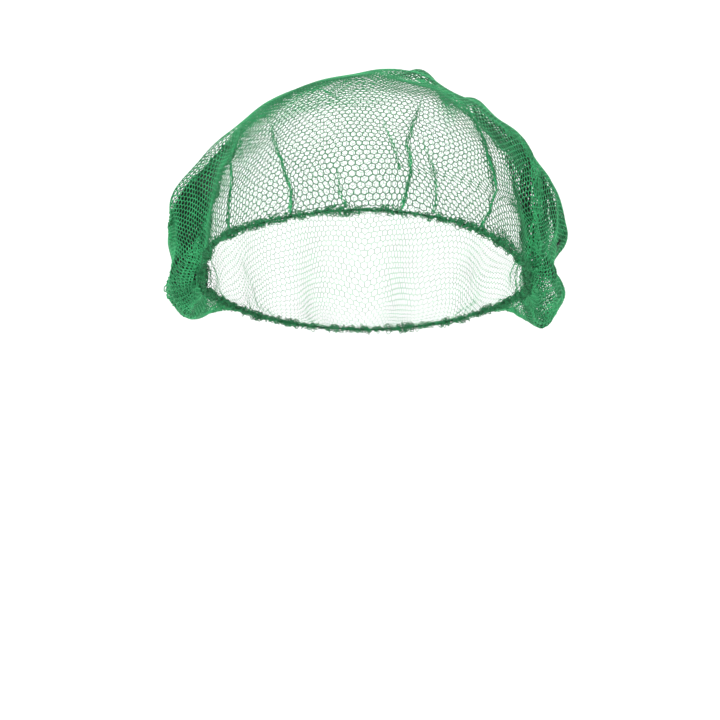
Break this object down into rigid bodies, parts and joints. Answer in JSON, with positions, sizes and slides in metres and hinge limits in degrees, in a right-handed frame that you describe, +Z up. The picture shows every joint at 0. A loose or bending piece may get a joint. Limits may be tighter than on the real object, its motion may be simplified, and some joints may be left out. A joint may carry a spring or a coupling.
{
  "type": "hairnet",
  "caption": "Green knitted hairnet with an elastic hem, in the rounded, slouching form that it takes on a head, open below.",
  "frame": {"origin": "centre of the head opening, on the axis of the head that wears the net", "axes": "+Z up out of the crown, -Y the way the wearer faces, +X the wearer's left"},
  "size_m": [0.1955, 0.2196, 0.1269],
  "materials": {
    "net_yarn": "fine green nylon yarn, knitted open, with a soft sheen",
    "hem_yarn": "darker green net bunched on a covered elastic"
  },
  "bodies": {
    "root": {"net_crown": "net_yarn", "elastic_hem": "hem_yarn"}
  },
  "joints": []
}
